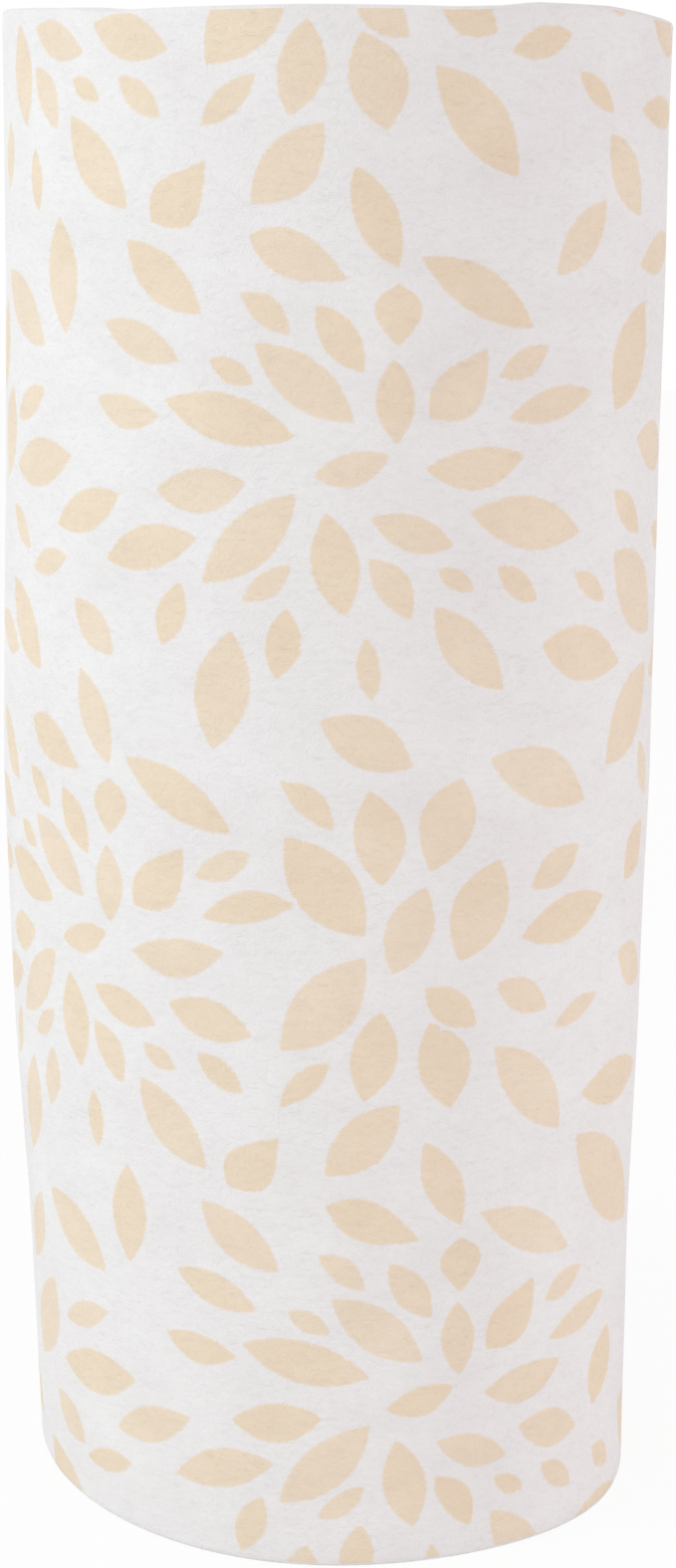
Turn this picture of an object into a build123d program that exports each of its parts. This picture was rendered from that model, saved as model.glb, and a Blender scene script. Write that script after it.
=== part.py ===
from build123d import *
import math
import os

# Roll of washable bamboo kitchen towels: one long perforated cloth wound on a cardboard core.
# Millimetres. +Z runs up the roll's axis, and the origin is on the axis, at the end it stands on.
# The front faces -Y. The cloth's free edge and its first tear line are round the back.

# Driving dimensions
roll_height = 280.0
roll_diameter = 123.0
core_bore = 40.0
core_wall = 1.0
cloth_thickness = 2.0
air_between_turns = 0.4
towels_on_roll = 15
free_edge_bearing = 40.0  # degrees anticlockwise from +X
slit_length = 10.0
slit_width = 0.4
tie_length = 4.0  # uncut cloth between two slits

# What follows from them. The roll's radius is the mean of its last turn, which grows by one pitch.
core_radius = core_bore / 2 + core_wall
turn_pitch = cloth_thickness + air_between_turns
half_pitch = turn_pitch / 2
turns = (roll_diameter / 2 - cloth_thickness - core_radius) / turn_pitch + 0.75
whole_half_turns = int(2 * turns)
last_arc_size = 180 * (2 * turns - whole_half_turns)  # degrees of the unfinished half turn

os.makedirs("parts", exist_ok=True)


def arc_size(half_turn):
    """Degrees that a half turn of the cloth covers: 180, or less for the one with the free edge."""
    return 180 if half_turn < whole_half_turns else last_arc_size


def arc_start(half_turn):
    """Bearing where a half turn starts, with the cloth's inner edge at 0."""
    return 180 * (half_turn % 2)


def arc_centre(half_turn):
    """Even half turns are struck from the roll's axis, odd ones from half a pitch beside it."""
    return (half_pitch * (half_turn % 2), 0)


def arc_radius(half_turn):
    """Radius of the cloth's inner face: the first half turn lies on the core."""
    return core_radius + half_pitch * half_turn


def cloth_side(offset):
    """One face of the cloth, as arcs that run smoothly on from each other, offset from its inner face."""
    return [
        CenterArc(arc_centre(i), arc_radius(i) + offset, arc_start(i), arc_size(i))
        for i in range(whole_half_turns + 1)
    ]


def wound_cloth():
    """The whole cloth from its edge on the core to its free edge, as one spiral strip."""
    inner_side = cloth_side(0)
    outer_side = cloth_side(cloth_thickness)
    edge_on_core = Line(inner_side[0] @ 0, outer_side[0] @ 0)
    free_edge = Line(inner_side[-1] @ 1, outer_side[-1] @ 1)
    section = make_face(inner_side + [free_edge] + outer_side + [edge_on_core])
    return extrude(section, roll_height, dir=(0, 0, 1))


def cloth_length():
    """Length of the cloth's middle, from one end to the other."""
    return sum(
        math.radians(arc_size(i)) * (arc_radius(i) + cloth_thickness / 2)
        for i in range(whole_half_turns + 1)
    )


def place_from_free_edge(distance):
    """Half turn and bearing of the line that lies this far along the cloth from its free edge."""
    half_turn = whole_half_turns
    left = distance
    while left > math.radians(arc_size(half_turn)) * (arc_radius(half_turn) + cloth_thickness / 2):
        left -= math.radians(arc_size(half_turn)) * (arc_radius(half_turn) + cloth_thickness / 2)
        half_turn -= 1
    turned_back = math.degrees(left / (arc_radius(half_turn) + cloth_thickness / 2))
    return half_turn, arc_start(half_turn) + arc_size(half_turn) - turned_back


def tear_line_slits():
    """Cutters for the row of slits between the first towel and the second, through one turn only."""
    half_turn, bearing = place_from_free_edge(cloth_length() / towels_on_roll)
    spacing = slit_length + tie_length
    cutter = Box(turn_pitch, slit_width, slit_length)
    middle = arc_radius(half_turn) + cloth_thickness / 2
    beside = Pos(*arc_centre(half_turn)) * Rot(0, 0, bearing) * Pos(middle, 0, 0)
    return [beside * Pos(0, 0, spacing * (i + 0.5)) * cutter for i in range(int(roll_height / spacing))]


# Cloth: a soft non-woven of bamboo fibre, torn off towel by towel. It is one piece, about 17 turns deep.
towel_winding = wound_cloth() - tear_line_slits()
towel_winding = Rot(0, 0, free_edge_bearing - last_arc_size - arc_start(whole_half_turns)) * towel_winding
export_step(towel_winding, "parts/towel_winding.step")

# Core: a paperboard tube as long as the roll, which slips over the spindle of a holder.
on_end = (Align.CENTER, Align.CENTER, Align.MIN)
cardboard_core = Cylinder(core_radius, roll_height, align=on_end) - Cylinder(core_bore / 2, roll_height, align=on_end)
export_step(cardboard_core, "parts/cardboard_core.step")

print(f"{turns:.2f} turns at {turn_pitch:.2f} mm, cloth {cloth_length():.0f} mm long,")
print(f"{towels_on_roll} towels of {cloth_length() / towels_on_roll:.0f} mm")
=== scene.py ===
import math

import bpy
import numpy as np
from mathutils import Matrix, Vector, noise


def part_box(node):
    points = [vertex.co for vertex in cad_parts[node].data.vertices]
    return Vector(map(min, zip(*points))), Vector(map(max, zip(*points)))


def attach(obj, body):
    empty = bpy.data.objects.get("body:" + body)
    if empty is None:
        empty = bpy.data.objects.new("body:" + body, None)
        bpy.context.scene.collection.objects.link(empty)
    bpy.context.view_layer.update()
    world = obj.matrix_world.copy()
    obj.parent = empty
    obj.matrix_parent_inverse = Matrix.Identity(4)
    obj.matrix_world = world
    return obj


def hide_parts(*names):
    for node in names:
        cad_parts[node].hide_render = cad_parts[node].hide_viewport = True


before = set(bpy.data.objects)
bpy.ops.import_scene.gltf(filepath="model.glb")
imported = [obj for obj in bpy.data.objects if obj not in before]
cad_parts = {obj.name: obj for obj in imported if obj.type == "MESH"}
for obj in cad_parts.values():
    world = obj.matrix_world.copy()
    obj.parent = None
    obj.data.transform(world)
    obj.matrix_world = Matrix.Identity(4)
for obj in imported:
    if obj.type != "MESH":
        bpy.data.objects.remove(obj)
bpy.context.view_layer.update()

# Camera. The roll is seen from half a metre away and a little from above, and fills the tall frame.
# These are the place and the angles at which a plain cylinder of the roll's size covers the real one.
camera_distance = 0.5175
camera_height = 0.2485
camera_pitch = math.radians(12.41)
camera_yaw = math.radians(0.14)
camera_roll = math.radians(0.37)

camera = bpy.data.objects.new("camera", bpy.data.cameras.new("camera"))
camera.data.lens = 61.84
camera.data.sensor_width = 36
camera.matrix_world = (
    Matrix.Translation((0, -camera_distance, camera_height))
    @ Matrix.Rotation(-camera_yaw, 4, "Z")
    @ Matrix.Rotation(math.radians(90) - camera_pitch, 4, "X")
    @ Matrix.Rotation(camera_roll, 4, "Z")
)
bpy.context.scene.collection.objects.link(camera)
bpy.context.scene.camera = camera

# Cardboard core. A tube of brown paperboard, wound from a strip in a helix and cut off square. The
# cloth's inner edge lies on it, and its bore slips over the spindle of a towel holder.
mm = 0.001
core_low, core_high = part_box("cardboard_core")
core_radius = (core_high.x - core_low.x) / 2 / mm
roll_height = (core_high.z - core_low.z) / mm
core_wall = 1.0
seam_rise = 160.0
seam_width = 0.5
seam_depth = 0.25
board_edge = 0.2
core_columns = 80
core_rows = 112


def add_piece(name, points, faces, material):
    """A mesh piece from points in millimetres, shaded smooth."""
    mesh = bpy.data.meshes.new(name)
    mesh.from_pydata((np.asarray(points) * mm).tolist(), [], faces)
    mesh.validate()
    mesh.shade_smooth()
    mesh.materials.append(material)
    piece = bpy.data.objects.new(name, mesh)
    bpy.context.scene.collection.objects.link(piece)
    return piece


def faces_between(first, second, ring):
    """Quads that join two closed rings of points, given where each starts."""
    after = [(j + 1) % ring for j in range(ring)]
    return [(first + j, second + j, second + after[j], first + after[j]) for j in range(ring)]


def add_node(tree, kind, settings=None, sockets=None):
    """A shader node with its settings, and its sockets filled with plain values or linked to outputs."""
    made = tree.nodes.new(kind)
    for name, value in (settings or {}).items():
        setattr(made, name, value)
    for name, value in (sockets or {}).items():
        if isinstance(value, bpy.types.NodeSocket):
            tree.links.new(value, made.inputs[name])
        else:
            made.inputs[name].default_value = value
    return made


def calculate(tree, operation, first, second=0.0, third=0.0):
    """The output of a Math node."""
    sockets = {0: first, 1: second, 2: third}
    return add_node(tree, "ShaderNodeMath", {"operation": operation}, sockets).outputs[0]


def fibre_mat():
    """Shared by cloth and board: matted fibres, as their height, their strands and a slow change of tone."""
    tree = bpy.data.node_groups.new("fibre mat", "ShaderNodeTree")
    tree.interface.new_socket("Pebble", in_out="INPUT", socket_type="NodeSocketFloat")
    tree.interface.new_socket("Fibre", in_out="INPUT", socket_type="NodeSocketFloat")
    tree.interface.new_socket("Patch", in_out="INPUT", socket_type="NodeSocketFloat")
    tree.interface.new_socket("Height", in_out="OUTPUT", socket_type="NodeSocketFloat")
    tree.interface.new_socket("Strands", in_out="OUTPUT", socket_type="NodeSocketFloat")
    tree.interface.new_socket("Tone", in_out="OUTPUT", socket_type="NodeSocketFloat")
    given = tree.nodes.new("NodeGroupInput")
    place = add_node(tree, "ShaderNodeTexCoord").outputs["Object"]
    stretched = add_node(
        tree, "ShaderNodeMapping", {}, {"Vector": place, "Scale": (1 / mm, 1 / mm, 1.5 / mm)}
    ).outputs[0]
    pebbles = add_node(
        tree,
        "ShaderNodeTexNoise",
        {},
        {"Vector": stretched, "Scale": given.outputs["Pebble"], "Detail": 2.0, "Roughness": 0.55},
    ).outputs[0]
    strands = add_node(
        tree,
        "ShaderNodeTexNoise",
        {},
        {"Vector": stretched, "Scale": given.outputs["Fibre"], "Detail": 3.0, "Distortion": 2.5},
    ).outputs[0]
    ridges = calculate(tree, "ABSOLUTE", calculate(tree, "MULTIPLY_ADD", strands, 4.0, -2.0))
    ridges = calculate(tree, "SUBTRACT", 1.0, calculate(tree, "MINIMUM", ridges, 1.0))
    patches = add_node(
        tree,
        "ShaderNodeTexNoise",
        {},
        {"Vector": stretched, "Scale": given.outputs["Patch"], "Detail": 3.0, "Roughness": 0.6},
    ).outputs[0]
    height = calculate(tree, "MULTIPLY_ADD", ridges, 0.35, calculate(tree, "MULTIPLY", pebbles, 0.65))
    result = tree.nodes.new("NodeGroupOutput")
    tree.links.new(height, result.inputs["Height"])
    tree.links.new(ridges, result.inputs["Strands"])
    tree.links.new(patches, result.inputs["Tone"])
    return tree


fibres = fibre_mat()


def board():
    """Brown paperboard, speckled and nearly matt."""
    material = bpy.data.materials.new("brown board")
    material.use_nodes = True
    tree = material.node_tree
    sizes = {"Pebble": 0.9, "Fibre": 0.5, "Patch": 0.06}
    mat = add_node(tree, "ShaderNodeGroup", {"node_tree": fibres}, sizes)
    speckle = calculate(tree, "MULTIPLY_ADD", mat.outputs["Strands"], 0.35, mat.outputs["Tone"])
    colour = add_node(
        tree,
        "ShaderNodeMix",
        {"data_type": "RGBA"},
        {"Factor": speckle, "A": (0.30, 0.205, 0.125, 1), "B": (0.47, 0.35, 0.235, 1)},
    ).outputs["Result"]
    height = mat.outputs["Height"]
    bump = add_node(tree, "ShaderNodeBump", {}, {"Strength": 0.4, "Distance": 0.1 * mm, "Height": height})
    shader = tree.nodes["Principled BSDF"]
    tree.links.new(colour, shader.inputs["Base Color"])
    tree.links.new(bump.outputs[0], shader.inputs["Normal"])
    shader.inputs["Roughness"].default_value = 0.8
    shader.inputs["Specular IOR Level"].default_value = 0.3
    return material


def core_tube():
    """Points and faces of the tube. Its columns follow the helix, and one of them is the open seam."""
    step = 360 / core_columns
    seam = math.degrees(seam_width / core_radius)
    columns = [(step * i, 0.0) for i in range(core_columns)]
    columns[1:1] = [(seam * 0.2, seam_depth), (seam * 0.8, seam_depth), (seam, 0.0)]
    heights = np.linspace(board_edge, roll_height - board_edge, core_rows)
    bore_radius = core_radius - core_wall
    ring = [(z, core_radius, -1) for z in heights]
    ring += [(roll_height, core_radius - board_edge, 0), (roll_height, bore_radius + board_edge, 0)]
    ring += [(z, bore_radius, 1) for z in reversed(heights)]
    ring += [(0.0, bore_radius + board_edge, 0), (0.0, core_radius - board_edge, 0)]
    points = []
    for column, depth in columns:
        for z, radius, side in ring:
            angle = math.radians(column + 360 * z / seam_rise)
            reach = radius + side * depth
            points.append((reach * math.cos(angle), reach * math.sin(angle), z))
    faces = []
    for i in range(len(columns)):
        faces += faces_between(i * len(ring), (i + 1) % len(columns) * len(ring), len(ring))
    return points, faces


core = add_piece("core_tube", *core_tube(), board())
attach(core, "root")
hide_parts("cardboard_core")

# Cloth. One long strip of soft white non-woven bamboo, printed with scattered beige leaves and pierced
# with tear lines, wound about seventeen times round the core. Its free edge lies round the back.
cloth_thickness = 2.0
air_between_turns = 0.4
roll_diameter = 123.0
free_edge_bearing = 40.0
towels_on_roll = 15
slit_length = 10.0
slit_depth = 1.2
slit_width = 0.5
tie_length = 4.0
tear_repeat = slit_length + tie_length
nib_length = 0.5
turn_pitch = cloth_thickness + air_between_turns
half_pitch = turn_pitch / 2
turns = (roll_diameter / 2 - cloth_thickness - core_radius) / turn_pitch + 0.75
whole_half_turns = int(2 * turns)
wound_angle = 360 * turns
print_radius = roll_diameter / 2
soft_edge = 0.7

row_step = tear_repeat / 9
row_count = round(roll_height / row_step)
sparse_step = 20
edge_points = 4
inner_column = 5.0
outer_columns = 242
overlap_angle = 2.0
join_angle = 1.5
rounding_angles = (30, 60, 90)
dense_rows = [soft_edge] + [row_step * i for i in range(1, row_count)] + [roll_height - soft_edge]
sparse_rows = dense_rows[::sparse_step]

# How the soft roll gives. Its foot is squeezed oval, drawn in all round and pushed out in a toe at the
# front right, its left side bulges, and the outside undulates. Bearings are in degrees from +X.
squeeze = 2.1
squeeze_bearing = -70.0
squeeze_height = 140.0
draw_in = 0.9
bulge = 2.6
bulge_bearing = 185.0
bulge_spread = 45.0
bulge_height = 125.0
bulge_reach = 75.0
toe = 3.0
toe_bearing = -35.0
toe_spread = 21.0
toe_height = 45.0
undulation = 0.35
undulation_size = 34.0
turn_wander = 0.12
wander_size = 40.0
edge_raggedness = 0.4
raggedness_size = 30.0

# Rise of the top edge in millimetres at points from the left to the right, in degrees from the front.
rim_rise = {
    -180: 0.5, -83: 0.5, -71: 0.0, -59: -0.6, -47: -1.4, -40: -2.2, -23: -1.9, -5: -1.6,
    19: -1.8, 27: -1.4, 33: -0.6, 50: -0.3, 67: -1.0, 80: -1.2, 180: -0.8,
}
rim_depth = 30.0

# Leaves of the print: one tip, the other tip and the width, in millimetres to the right of the front
# along the surface and above the bottom. Two more values, where given, move the widest place towards
# the second tip and bow the middle line. The two bursts are given where they lie highest on the front.
wide_burst = [
    (-3.4, 201.3, 9.7, 204.9, 5.5, 0, -0.6), (15.8, 202.5, 34.8, 204.3, 7, 0, -1.1),
    (6.4, 194.2, 21.2, 189.2, 6, 0, -0.2), (-1.3, 195.2, 2.1, 177.4, 8),
    (-6.3, 198.4, -23, 182.6, 8.5, 0, 0.4), (-15, 200, -32, 198, 7.5, 0, 0.6),
    (-43.3, 185.3, -24, 190.3, 7.5, 0, 0.3), (-13.5, 223.5, 3.5, 210.5, 8),
    (-30, 213.5, -6.5, 208, 8), (10.1, 221.2, 10.8, 206.8, 6.5),
    (27, 222.7, 16.5, 211, 8.8, 0.2, 1.0), (10.8, 223, 10.8, 233.5, 8, 0.2),
    (31.2, 210.6, 51, 214.5, 5.5, 0, 0.2), (29.3, 217.8, 39.8, 222.8, 4.8, 0, -0.4),
    (-21.5, 220.7, -13.6, 216.7, 3.8), (-45.2, 213.3, -31.2, 210.6, 5.5, 0, -0.9),
    (-3, 230, 5, 218.8, 6), (-16, 231.8, -7.5, 225, 4.5, 0, 0.6),
    (-43, 226.4, -27.2, 220.2, 6), (-37.8, 240.3, -23, 228.2, 7.5, 0, -0.4),
    (-14.5, 241.4, 2.6, 234, 7.5, -0.2), (3.3, 252.7, 10.7, 236, 7),
    (14.7, 237.8, 36.3, 226, 7.5, 0, 0.3), (18.3, 185.2, 25.3, 181.4, 3.5),
    (29.7, 185.3, 38.4, 178.5, 4.5), (6.1, 187.4, 13.6, 176.7, 5.7, 0, 0.8),
    (-15.9, 179.8, -7.1, 186.3, 4, 0, -0.4), (-31.2, 171, -27.2, 182.5, 5.5),
    (-21.3, 153.4, -17.8, 174.5, 10), (-9.8, 166.4, -8, 178.7, 6, 0, -0.4),
    (6.9, 162.6, 5.7, 173.8, 4), (17.8, 178.9, 31.4, 163.4, 8, 0, -0.5),
]
close_burst = [
    (11, 113.5, 17, 129.2, 8.5), (6.6, 146.8, 9.1, 129.7, 9, 0, 0.7), (23.6, 148.3, 17.8, 131.7, 10.2, -0.1),
    (-8.2, 138.4, 6, 120.6, 11), (31.4, 133, 23.5, 115, 11), (-8.8, 99.6, 6.1, 116.7, 10.7, 0, -0.6),
    (16.9, 110.7, 27, 102.8, 6.3), (31, 110.1, 42.6, 103.7, 6, 0, 0.2), (9.1, 107, 6, 90.3, 8.2, 0, 0.3),
    (18, 104.3, 22, 88, 9.8, 0, 1.0), (38.3, 126.8, 50.5, 132.9, 6.3), (36.3, 118, 58.8, 121.8, 8.4, 0, -0.2),
    (-2.2, 159.2, 14.3, 150.8, 8.8, 0, 0.3), (28.8, 151.4, 51.6, 141, 9.8, 0, 0.8),
    (-8.9, 148.5, 0.4, 139.8, 4.7, 0, 0.7), (44.8, 99.7, 57.3, 103.4, 4),
    (-9, 89, 0.1, 97.6, 4.3, 0, 0.3), (-0.8, 76.4, 12.5, 89.5, 9, 0, -0.3),
    (30.8, 98.4, 46.8, 79.7, 9.5, 0, 0.5),
]
left_leaves = [
    (-55, 244, -53.6, 223.8, 8.5), (-80, 234, -61, 221.5, 9, 0, 0.3), (-75, 208, -61.5, 214, 5),
    (-76, 199.2, -52.7, 202.6, 8.5, 0, -0.3), (-57.3, 190.2, -40, 196.9, 7, 0, -0.3),
    (-67, 181.4, -54.3, 184.8, 4.5), (-51.8, 177.6, -42, 168.3, 6.5),
    (-79, 178.5, -64.5, 163, 9.5), (-79, 192, -68.5, 184.7, 4.5),
    (-22.2, 253.5, -32.5, 243.3, 9, 0.3, 1.0), (-89, 212, -83, 229, 8), (-86, 196, -78.5, 213.5, 10),
]
lower_left_leaves = [
    (-39.6, 73.6, -39.6, 54.2, 8), (-65, 61.5, -46, 50.4, 9, 0, 0.3), (-59.3, 36.4, -45.8, 42.4, 5),
    (-60.3, 27.2, -38.5, 30.7, 8.5, 0, -0.3), (-43.3, 19.6, -26.2, 26.3, 6.8), (-52.2, 9.9, -39.5, 13.3, 4.5),
    (-66.5, 6.9, -52, -8.6, 9.5), (-63.5, 18.9, -53.2, 11.8, 6.4), (-9, 83.5, -18.7, 73.4, 9, 0.3, 0.6),
    (-76.5, 41.4, -70.5, 58.4, 8), (-71.5, 22.5, -64.5, 42.5, 10), (-84, 16, -73, 7, 6),
]
right_leaves = [
    (24.1, 194.8, 48.7, 190.1, 9), (45.5, 268.6, 55.3, 262.1, 4), (54.3, 258.4, 65.6, 244.6, 8.5),
    (41.3, 234.8, 53.5, 247.2, 7.5, 0, -0.3), (58.3, 210.7, 69, 229.7, 12),
    (69.5, 278.4, 88, 274, 7), (65, 262.9, 88, 262.4, 5.5), (66.3, 236, 88, 240, 7),
    (67.3, 205.3, 88, 200.8, 9), (59, 196.5, 70, 188, 5.5), (47.3, 182.9, 56.6, 176.8, 3.8, 0, 0.3),
    (59.5, 185.5, 79, 168.5, 12.5), (39.7, 170.7, 62.4, 165, 9.7, -0.1), (58.4, 146.4, 77, 162.8, 12.3),
    (67.5, 122.8, 77.6, 132.3, 8.4), (66, 109.5, 80, 100.3, 8), (73.8, 148.3, 80, 136.5, 6),
    (53, 84.6, 79, 82.8, 8.6), (52, 77, 76, 52, 13), (60, 20.5, 66, 34.5, 9),
]
lower_right_leaves = [
    (60, 12.3, 67, 6.8, 4.5), (73.5, 15, 93, -2, 13), (54, 0.5, 77, -5.5, 10),
]
top_leaves = [
    (-22, 268.8, -8.5, 285.3, 11, 0, -0.3), (2.9, 281.2, 12.0, 273.3, 6.4), (17, 280.3, 27.8, 274.4, 7),
    (-4.7, 276.2, -7.7, 260.5, 7.8, 0, 0.6), (4.1, 274.1, 8.7, 258.3, 9.6, 0, 0.8),
    (30.5, 271.3, 43.5, 274.8, 5), (-23, 258.9, -13.4, 267.3, 4.6), (-14.2, 246.4, -1.9, 259.5, 9, 0, -0.6),
    (16.7, 268.9, 32.4, 251, 9.5, 0, 0.4), (52.5, 280.5, 60, 281, 5),
]
shifted_leaves = [
    (-23.5, 122.9, -6.3, 126.4, 5.5, 0, 0.8), (45.2, 38.7, 64.2, 41.8, 5.2), (43.9, 46.5, 54.4, 50.5, 4.8),
    (-16.2, 1.3, -12.2, 12.8, 5.5),
]
short_leaf = [(23.9, 193.9, 40, 189.4, 7.3)]

# The wide burst comes again on the front, this far along and up, and with the others round the back.
down_repeat = (14.0, -170.6)
left_repeat = (-54.1, -87.5)
up_left_repeat = (-69.1, 81.9)
round_the_back = 178.0
back_rise = 62.0
leaf_gap = 0.8

# Near the foot the print drifts up by these millimetres, at points along the surface from the front.
# Where the roll bulges the print slides round with it. The slide stops growing at slide_limit degrees
# from the front, and fades out before slide_end.
foot_drift = {-30: -0.2, -20: 0.5, 15: 0.4, 30: -0.2, 45: -0.1, 65: 0.3}
foot_drift_height = 60.0
slide_limit = 75.0
slide_end = 120.0
slide_fade = 30.0

# How a leaf is drawn. Its tips are rounded by tip_radius, and the ink's strength steps from leaf to leaf.
spine_points = 13
too_far_to_meet = 70.0
no_leaf = -50.0
tip_radius = 0.3
strength_step = 0.618


def spine(leaf):
    """Points along a leaf's middle, and half its width there."""
    left, low, right, high, width = leaf[:5]
    share = np.linspace(0, 1, spine_points)
    points = np.stack([left + share * (right - left), low + share * (high - low)], 1)
    return points, width / 2 * (1 - (2 * share - 1) ** 2)


def lay_leaves(laid, leaves, along=0.0, up=0.0, gap=None):
    """Adds leaves, moved along and up. With a gap, a leaf that comes nearer to another is left out."""
    for left, low, right, high, *form in leaves:
        leaf = (left + along, low + up, right + along, high + up, *form)
        points, halves = spine(leaf)
        clear = True
        for other in laid if gap is not None else []:
            if abs(other[0] - leaf[0]) > too_far_to_meet or abs(other[1] - leaf[1]) > too_far_to_meet:
                continue
            others, other_halves = spine(other)
            apart = np.linalg.norm(points[:, None] - others[None], axis=2)
            apart = apart - halves[:, None] - other_halves[None]
            if apart.min() < gap:
                clear = False
        if clear:
            laid.append(leaf)


def leaf_layout():
    """All the leaves on the outer turn: the front first, then the same bursts further round."""
    laid = []
    # Each repeat of the wide burst lacks a few of its leaves.
    lay_leaves(laid, wide_burst)
    lay_leaves(laid, wide_burst[:12] + wide_burst[14:27] + wide_burst[28:], *down_repeat)
    lay_leaves(laid, wide_burst[:12] + wide_burst[13:], *left_repeat)
    round_the_edge = wide_burst[:4] + wide_burst[6:26] + wide_burst[27:28] + wide_burst[29:]
    lay_leaves(laid, round_the_edge, *up_left_repeat)
    for shift in (down_repeat, left_repeat, up_left_repeat):
        lay_leaves(laid, short_leaf, *shift)
    for group in (close_burst, top_leaves, shifted_leaves, left_leaves, lower_left_leaves):
        lay_leaves(laid, group)
    for group in (right_leaves, lower_right_leaves):
        lay_leaves(laid, group)
    for along in (-round_the_back, round_the_back):
        for repeat in (0, 1, -1):
            shift = (along + repeat * down_repeat[0], back_rise + repeat * down_repeat[1])
            for group in (wide_burst, close_burst, left_leaves, right_leaves):
                lay_leaves(laid, group, *shift, leaf_gap)
            lay_leaves(laid, wide_burst, shift[0] + left_repeat[0], shift[1] + left_repeat[1], leaf_gap)
    return laid


def turn_at(turned, depth):
    """Place in the roll's section, before it gives: degrees wound, and depth from the cloth's inner face."""
    half_turn = np.minimum(np.floor(turned / 180), whole_half_turns)
    radius = core_radius + half_pitch * half_turn + depth
    angle = np.radians(turned)
    x = half_pitch * (half_turn % 2) + radius * np.cos(angle)
    y = radius * np.sin(angle)
    turn_back = math.radians(free_edge_bearing - wound_angle)
    return (
        x * math.cos(turn_back) - y * math.sin(turn_back),
        x * math.sin(turn_back) + y * math.cos(turn_back),
    )


def soft_noise(x, y, z, size):
    """Smooth noise from about -1 to 1, with swells of that size in millimetres."""
    return np.array([noise.noise(Vector((a, b, c)) / size) for a, b, c in zip(x, y, z)])


def give_at(bearing, z):
    """How far the outside of the roll has given outwards, in millimetres."""
    foot = np.clip(1 - z / squeeze_height, 0, 1)
    give = foot * (squeeze * np.cos(2 * np.radians(bearing - squeeze_bearing)) - draw_in)
    off_bulge = (bearing - bulge_bearing + 180) % 360 - 180
    give += bulge * np.exp(-((off_bulge / bulge_spread) ** 2) - ((z - bulge_height) / bulge_reach) ** 2)
    off_toe = (bearing - toe_bearing + 180) % 360 - 180
    return give + toe * np.exp(-((off_toe / toe_spread) ** 2)) * np.clip(1 - z / toe_height, 0, 1)


def given_way(turned, depth, z):
    """Points of the cloth in millimetres, after the soft roll has given."""
    x, y = turn_at(turned, depth)
    radius = np.hypot(x, y)
    bearing = np.degrees(np.arctan2(y, x))
    outwards = np.clip((radius - core_radius) / (print_radius - core_radius), 0, 1)
    give = give_at(bearing, z)
    give += undulation * soft_noise(x, y, z, undulation_size)
    give *= outwards
    # The turns wander a little from their even spacing, and the innermost ones less. The edge is ragged
    # along the strip and from one turn to the next.
    give += turn_wander * soft_noise(turned, 0 * z, z / 3, wander_size) * np.clip(outwards * 8, 0, 1)
    from_front = (bearing + 90 + 180) % 360 - 180
    rise = np.interp(from_front, list(rim_rise), list(rim_rise.values())) * outwards
    rise += edge_raggedness * soft_noise(turned * 0.7, radius * 6, 0 * z, raggedness_size)
    z = z + rise * np.clip(1 - (roll_height - z) / rim_depth, 0, 1) ** 2
    scale = (radius + give) / radius
    return np.stack([x * scale, y * scale, z], 1)


def section_ring(rows):
    """Heights and depths round the cloth's cut section: outer face, top edge, inner face, bottom edge."""
    corner = soft_edge * (1 - math.sqrt(0.5))
    edge = [(corner, cloth_thickness - corner), (0.0, cloth_thickness - soft_edge)]
    edge += [(0.0, soft_edge), (corner, corner)]
    ring = [(z, cloth_thickness) for z in rows]
    ring += [(roll_height - z, depth) for z, depth in edge]
    ring += [(z, 0.0) for z in reversed(sparse_rows)]
    ring += [(z, depth) for z, depth in reversed(edge)]
    return np.array(ring)


def tear_line():
    """Degrees wound at the first tear line, one towel's length back from the free edge."""
    middle = core_radius + cloth_thickness / 2
    arcs = [math.radians(180) * (middle + half_pitch * i) for i in range(whole_half_turns)]
    last_radius = middle + half_pitch * whole_half_turns
    last_arc = math.radians(wound_angle - 180 * whole_half_turns) * last_radius
    left = (sum(arcs) + last_arc) / towels_on_roll - last_arc
    half_turn = whole_half_turns - 1
    while left > arcs[half_turn]:
        left -= arcs[half_turn]
        half_turn -= 1
    return 180 * half_turn + 180 * (1 - left / arcs[half_turn])


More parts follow.
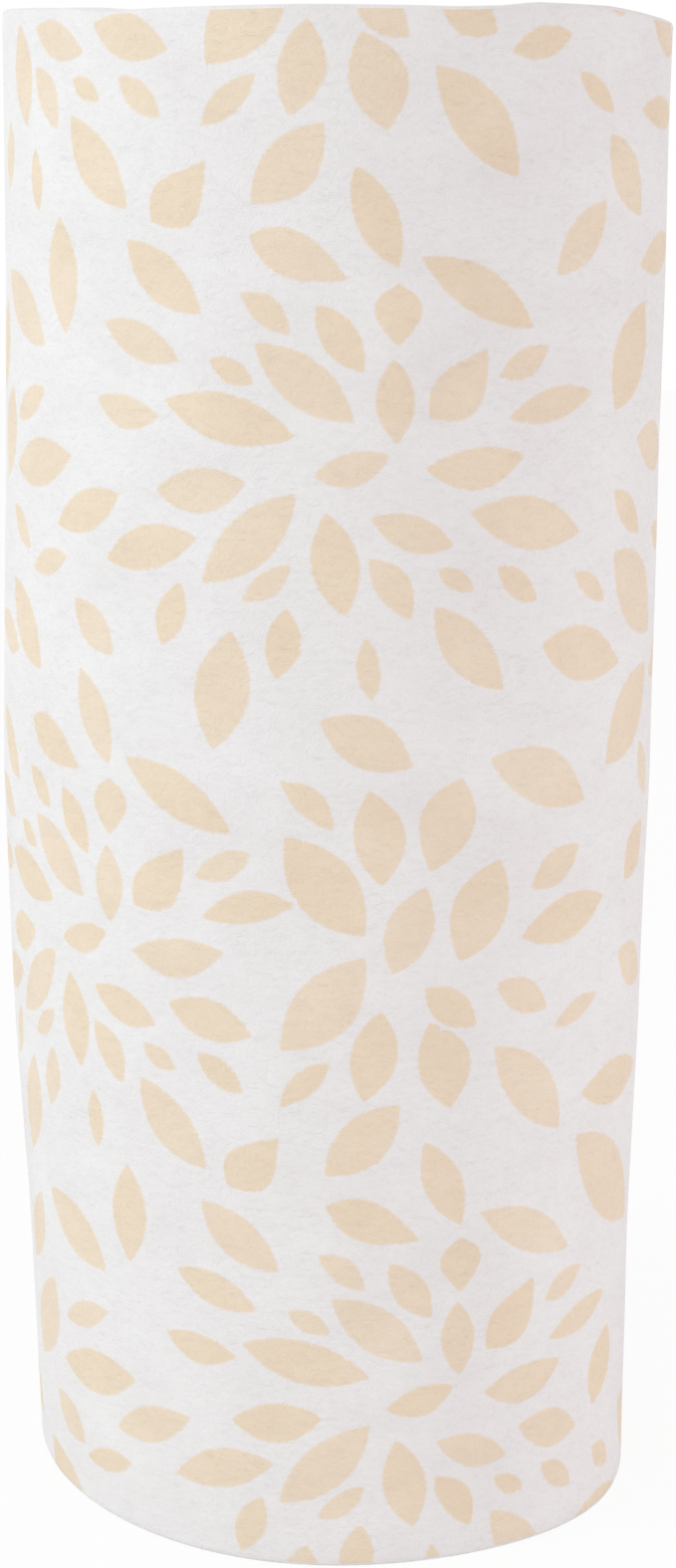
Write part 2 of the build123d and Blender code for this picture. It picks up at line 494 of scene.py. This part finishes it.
def wound_cloth():
    """The cloth's points, and its faces: those of the printed outside, then the others."""
    sparse_ring = section_ring(sparse_rows)
    dense_ring = section_ring(dense_rows)
    dense_start = wound_angle - 360 - overlap_angle
    torn = tear_line()
    groove = math.degrees(slit_width / 2 / print_radius)
    inner = np.linspace(0, dense_start - join_angle, int(dense_start / inner_column))
    outer = np.linspace(dense_start, wound_angle - math.degrees(soft_edge / print_radius), outer_columns)
    outer = outer[np.abs(outer - torn) > 2 * groove]
    outer = np.sort(np.concatenate([outer, [torn - groove, torn, torn + groove]]))
    turned, depth, z = [], [], []
    for column in inner:
        turned.append(np.full(len(sparse_ring), column))
        z.append(sparse_ring[:, 0])
        depth.append(sparse_ring[:, 1])
    nibs = np.abs((dense_ring[:, 0] + tear_repeat / 2) % tear_repeat - tear_repeat / 2) < tie_length / 2
    in_slit = np.abs(dense_ring[:, 0] % tear_repeat - tear_repeat / 2) < slit_length / 2
    printed = dense_ring[:, 1] == cloth_thickness
    for column in outer:
        turned.append(np.full(len(dense_ring), column))
        z.append(dense_ring[:, 0])
        cut = slit_depth if column == torn else 0.0
        depth.append(dense_ring[:, 1] - cut * (in_slit & printed))
    # The free edge is rounded off, and has a nib of fibres wherever a tie was torn through.
    for angle in rounding_angles:
        drawn_in = 1 - (1 - math.cos(math.radians(angle))) * 2 * soft_edge / cloth_thickness
        reach = math.degrees(soft_edge / print_radius) * math.sin(math.radians(angle))
        nib = math.degrees(nib_length / print_radius) * nibs * (angle / 90)
        turned.append(outer[-1] + reach + nib)
        z.append(dense_ring[:, 0])
        depth.append(cloth_thickness / 2 + (dense_ring[:, 1] - cloth_thickness / 2) * drawn_in)
    points = given_way(*(np.concatenate(part) for part in (turned, depth, z)))
    points[:, 2] = np.maximum(points[:, 2], 0)
    few = len(sparse_ring)
    many = len(dense_ring)
    first_dense = len(inner) * few
    dense_columns = len(outer) + len(rounding_angles)
    printed_faces = []
    other_faces = []
    for i in range(dense_columns - 1):
        start = first_dense + i * many
        for j, face in enumerate(faces_between(start, start + many, many)):
            (printed_faces if j < len(dense_rows) - 1 else other_faces).append(face)
    for i in range(len(inner) - 1):
        other_faces += faces_between(i * few, (i + 1) * few, few)
    last_sparse = (len(inner) - 1) * few
    other_faces += fan_faces(last_sparse, first_dense)
    other_faces += end_faces(first_dense + (dense_columns - 1) * many, len(dense_rows), sparse_step)
    other_faces += [face[::-1] for face in end_faces(0, len(sparse_rows), 1)]
    return points, printed_faces, other_faces


def fan_faces(sparse, dense):
    """Faces from a ring with few rows to the next, which has many on its outer face."""
    faces = []
    for k in range(len(sparse_rows) - 1):
        rim = [dense + sparse_step * k + j for j in range(sparse_step + 1)]
        faces.append((sparse + k, *rim, sparse + k + 1))
    few = len(sparse_rows)
    many = len(dense_rows)
    rest = len(sparse_rows) + 2 * edge_points
    for j in range(-1, rest):
        a, b = sparse + few + j, dense + many + j
        if j < rest - 1:
            faces.append((a, b, b + 1, a + 1))
        else:
            faces.append((a, b, dense, sparse))
    return faces


def end_faces(start, rows, step):
    """Faces that close the strip's end: the ring's outer rows joined to its inner ones."""
    inner = start + rows + edge_points
    few = len(sparse_rows)
    faces = []
    for k in range(few - 1):
        outer = [start + step * k + j for j in range(step + 1)]
        faces.append((*outer, inner + few - 2 - k, inner + few - 1 - k))
    faces.append((*range(start + rows - 1, inner + 1),))
    faces.append((*range(inner + few - 1, inner + few + edge_points), start))
    return faces


def leaf_values(leaf, across_cloth, up_cloth):
    """How far places lie from a leaf's middle line, and half the leaf's width there, in millimetres."""
    left, low, right, high, width = leaf[:5]
    fullness = leaf[5] if len(leaf) > 5 else 0.0
    bow = leaf[6] if len(leaf) > 6 else 0.0
    half = math.hypot(right - left, high - low) / 2
    towards = ((right - left) / 2 / half, (high - low) / 2 / half)
    dx = across_cloth - (left + right) / 2
    dz = up_cloth - (low + high) / 2
    share = (dx * towards[0] + dz * towards[1]) / half
    warped = share - fullness * np.maximum(1 - share**2, 0)
    half_width = width / 2 * (1 - warped**2)
    return dz * towards[0] - dx * towards[1] - bow * (1 - share**2), np.maximum(half_width, no_leaf)


def print_cloth(mesh, points, faces):
    """Stores at each corner of the printed faces where it lies on the nearest leaf."""
    x, y, z = points.T
    around = np.degrees(np.arctan2(y, x))
    corners = np.array(faces)
    middle = around[corners[:, 0]]
    along = (around[corners] - middle[:, None] + 180) % 360 - 180 + middle[:, None]
    # The face lies on the outer turn, whose bearings run down from the free edge by a whole turn.
    column = np.arange(len(faces)) // (len(dense_rows) - 1)
    expected = free_edge_bearing - 360 - overlap_angle + column * (360 + overlap_angle) / column.max()
    along += 360 * np.round((expected - along.mean(1)) / 360)[:, None]
    from_front = along + 90
    leaning = np.tan(np.radians(np.clip(from_front, -slide_limit, slide_limit)))
    leaning *= np.clip((slide_end - np.abs(from_front)) / slide_fade, 0, 1)
    along = np.radians(from_front) * print_radius + give_at(along, z[corners]) * leaning
    drift = np.interp(along, list(foot_drift), list(foot_drift.values()))
    up = z[corners] - drift * np.clip(1 - z[corners] / foot_drift_height, 0, 1)
    laid = leaf_layout()
    best = np.full(len(faces), -np.inf)
    chosen = np.zeros(len(faces), int)
    for i, leaf in enumerate(laid):
        off, half_width = leaf_values(leaf, along.mean(1), up.mean(1))
        inside = half_width - np.abs(off)
        better = inside > best
        best[better] = inside[better]
        chosen[better] = i
    values = np.zeros((len(faces), 4, 3))
    for i, leaf in enumerate(laid):
        rows = chosen == i
        if rows.any():
            off, half_width = leaf_values(leaf, along[rows], up[rows])
            values[rows] = np.stack([off, half_width, np.full(off.shape, i * strength_step % 1)], 2)
    attribute = mesh.attributes.new("leaf", "FLOAT_VECTOR", "CORNER")
    everywhere = np.zeros((len(mesh.loops), 3))
    everywhere[:, 1] = no_leaf
    everywhere[: len(faces) * 4] = values.reshape(-1, 3)
    attribute.data.foreach_set("vector", everywhere.astype(np.float32).ravel())


def bamboo_cloth():
    """Matted white bamboo fibre. The beige ink soaks in between the fibres and frays a little at its edge."""
    material = bpy.data.materials.new("printed bamboo cloth")
    material.use_nodes = True
    tree = material.node_tree
    sizes = {"Pebble": 0.5, "Fibre": 0.35, "Patch": 0.05}
    mat = add_node(tree, "ShaderNodeGroup", {"node_tree": fibres}, sizes)
    height = mat.outputs["Height"]
    tone = mat.outputs["Tone"]
    cloth = add_node(
        tree,
        "ShaderNodeMix",
        {"data_type": "RGBA"},
        {"Factor": tone, "A": (0.80, 0.77, 0.772, 1), "B": (0.90, 0.894, 0.892, 1)},
    ).outputs["Result"]
    stored = add_node(tree, "ShaderNodeAttribute", {"attribute_name": "leaf"})
    leaf = add_node(tree, "ShaderNodeSeparateXYZ", {}, {0: stored.outputs["Vector"]})
    squared = calculate(tree, "MULTIPLY_ADD", leaf.outputs["X"], leaf.outputs["X"], tip_radius**2)
    inside = calculate(tree, "SUBTRACT", leaf.outputs["Y"], calculate(tree, "SQRT", squared))
    frayed = calculate(tree, "MULTIPLY_ADD", calculate(tree, "SUBTRACT", height, 0.4), 0.9, inside)
    ink = add_node(
        tree,
        "ShaderNodeMapRange",
        {"interpolation_type": "SMOOTHSTEP"},
        {"Value": frayed, "From Min": -0.35, "From Max": 0.35},
    ).outputs[0]
    strength = calculate(tree, "MULTIPLY_ADD", leaf.outputs["Z"], 0.12, 0.88)
    strength = calculate(tree, "MULTIPLY_ADD", tone, -0.2, calculate(tree, "ADD", strength, 0.1))
    inked = add_node(
        tree,
        "ShaderNodeMix",
        {"data_type": "RGBA", "blend_type": "MULTIPLY"},
        {"Factor": calculate(tree, "MULTIPLY", ink, strength), "A": cloth, "B": (0.99, 0.848, 0.655, 1)},
    ).outputs["Result"]
    bump = add_node(tree, "ShaderNodeBump", {}, {"Strength": 0.8, "Distance": 0.3 * mm, "Height": height})
    shader = tree.nodes["Principled BSDF"]
    tree.links.new(inked, shader.inputs["Base Color"])
    tree.links.new(bump.outputs[0], shader.inputs["Normal"])
    shader.inputs["Roughness"].default_value = 0.95
    shader.inputs["Specular IOR Level"].default_value = 0.2
    shader.inputs["Sheen Weight"].default_value = 0.15
    return material


cloth_points, printed_faces, other_faces = wound_cloth()
cloth = add_piece("towel_cloth", cloth_points, printed_faces + other_faces, bamboo_cloth())
print_cloth(cloth.data, cloth_points, printed_faces)
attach(cloth, "root")
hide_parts("towel_winding")

# Floor. A plain white sweep. The camera sees it almost as white as the sky behind, with the roll's
# faint shadow on it, and it throws the same light back at the roll as white paper would.
floor_size = 3.0
floor_mesh = bpy.data.meshes.new("floor")
floor_corners = [(-1, -1), (1, -1), (1, 1), (-1, 1)]
floor_mesh.from_pydata([(x * floor_size, y * floor_size, 0) for x, y in floor_corners], [], [(0, 1, 2, 3)])
floor = bpy.data.objects.new("floor", floor_mesh)
bpy.context.scene.collection.objects.link(floor)


def seen_directly(tree):
    """1 for what the camera sees, straight, mirrored or through glass, and 0 for light on its way."""
    path = add_node(tree, "ShaderNodeLightPath").outputs
    straight = calculate(tree, "MAXIMUM", path["Is Camera Ray"], path["Is Glossy Ray"])
    return calculate(tree, "MAXIMUM", straight, path["Is Transmission Ray"])


def white_floor():
    material = bpy.data.materials.new("white floor")
    material.use_nodes = True
    tree = material.node_tree
    shader = tree.nodes["Principled BSDF"]
    shader.inputs["Base Color"].default_value = (0.9, 0.9, 0.9, 1)
    shader.inputs["Roughness"].default_value = 1.0
    shader.inputs["Specular IOR Level"].default_value = 0.0
    glow = add_node(tree, "ShaderNodeEmission", {}, {"Color": (1, 1, 1, 1), "Strength": 1.0})
    share = calculate(tree, "MULTIPLY", seen_directly(tree), 0.9)
    mixed = add_node(tree, "ShaderNodeMixShader", {}, {0: share, 1: shader.outputs[0], 2: glow.outputs[0]})
    tree.links.new(mixed.outputs[0], tree.nodes["Material Output"].inputs["Surface"])
    return material


floor_mesh.materials.append(white_floor())

# Light. A white room gives most of it and a large soft window to the left of the camera the rest. A
# white card, low on the right, lifts the shaded side of the foot.
room_light = 0.845
window_power = 5.7
card_power = 0.30

world = bpy.data.worlds.new("white room")
bpy.context.scene.world = world
world.use_nodes = True
room = world.node_tree.nodes["Background"]
room.inputs["Color"].default_value = (1.0, 0.952, 0.957, 1)
room.inputs["Strength"].default_value = room_light
backdrop = add_node(world.node_tree, "ShaderNodeBackground", {}, {"Color": (1, 1, 1, 1), "Strength": 1.0})
room_mix = add_node(
    world.node_tree,
    "ShaderNodeMixShader",
    {},
    {0: seen_directly(world.node_tree), 1: room.outputs[0], 2: backdrop.outputs[0]},
)
world.node_tree.links.new(room_mix.outputs[0], world.node_tree.nodes["World Output"].inputs["Surface"])

window = bpy.data.objects.new("window", bpy.data.lights.new("window", "AREA"))
window.data.shape = "RECTANGLE"
window.data.size = 0.4
window.data.size_y = 0.8
window.data.energy = window_power
window.data.color = (0.82, 1.0, 0.99)
window.location = (-1.16, -0.52, 0.88)
window.visible_camera = False
window.rotation_euler = (Vector((0, 0, 0.14)) - window.location).to_track_quat("-Z", "Y").to_euler()
bpy.context.scene.collection.objects.link(window)

card = bpy.data.objects.new("white card", bpy.data.lights.new("white card", "AREA"))
card.data.size = 0.3
card.data.energy = card_power
card.location = (0.40, -0.16, 0.03)
card.visible_camera = False
card.rotation_euler = (Vector((0, 0, 0.03)) - card.location).to_track_quat("-Z", "Y").to_euler()
bpy.context.scene.collection.objects.link(card)

bpy.context.scene.view_settings.view_transform = "Standard"
